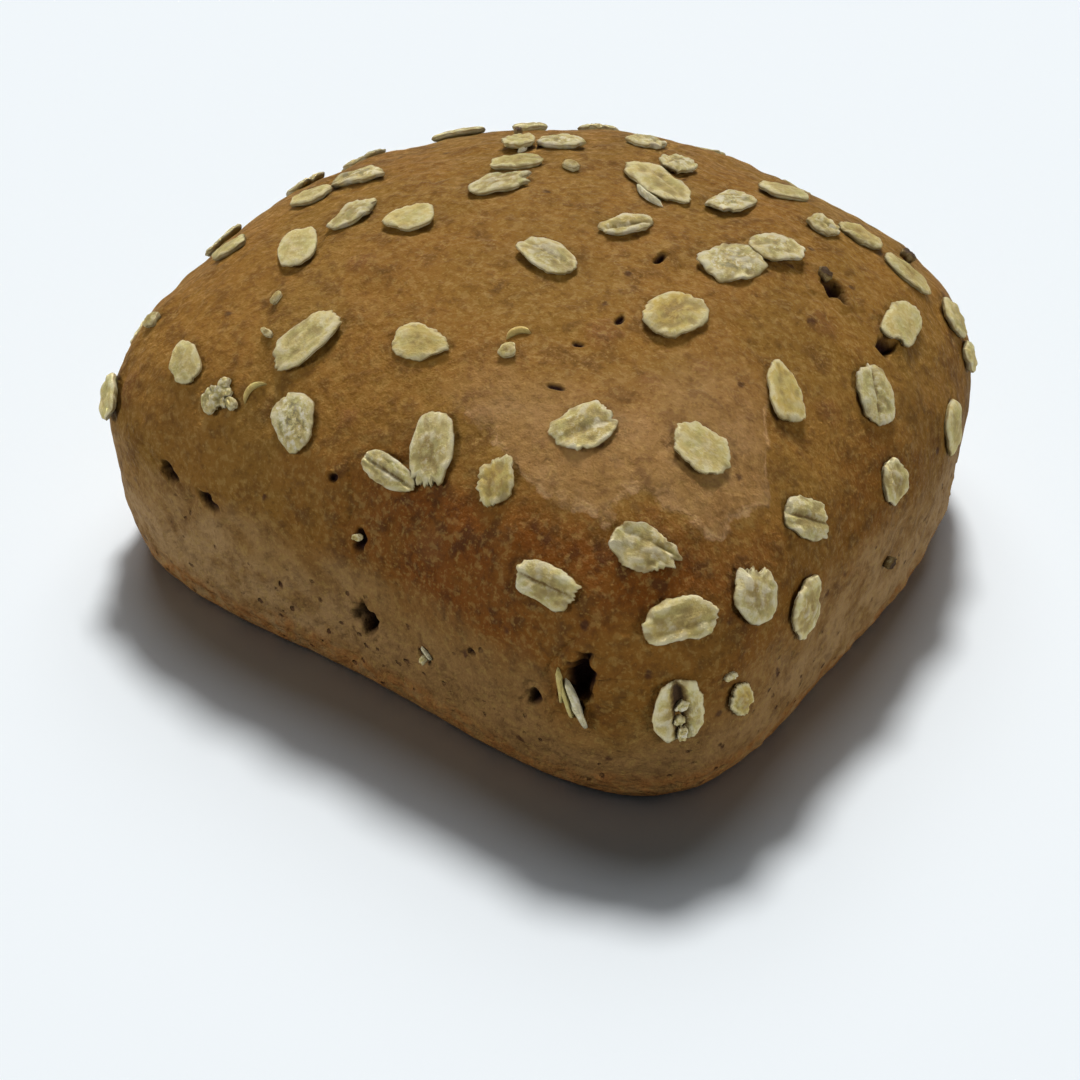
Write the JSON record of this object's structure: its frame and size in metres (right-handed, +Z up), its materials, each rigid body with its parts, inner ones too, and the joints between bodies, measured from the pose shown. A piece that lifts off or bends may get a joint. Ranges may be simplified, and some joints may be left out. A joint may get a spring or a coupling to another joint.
{
  "type": "bread roll",
  "caption": "Domed wholegrain bread roll with soft corners, a flat base and rolled oat flakes baked onto its crust.",
  "frame": {"origin": "middle of the flat base that the roll rests on", "axes": "+Z up out of the base; the plumper, nearly straight sides face -Y and +X"},
  "size_m": [0.0993, 0.0958, 0.0468],
  "materials": {
    "crust": "matte baked crust with pale oat flakes"
  },
  "bodies": {
    "root": {"bread_roll": "crust"}
  },
  "joints": []
}
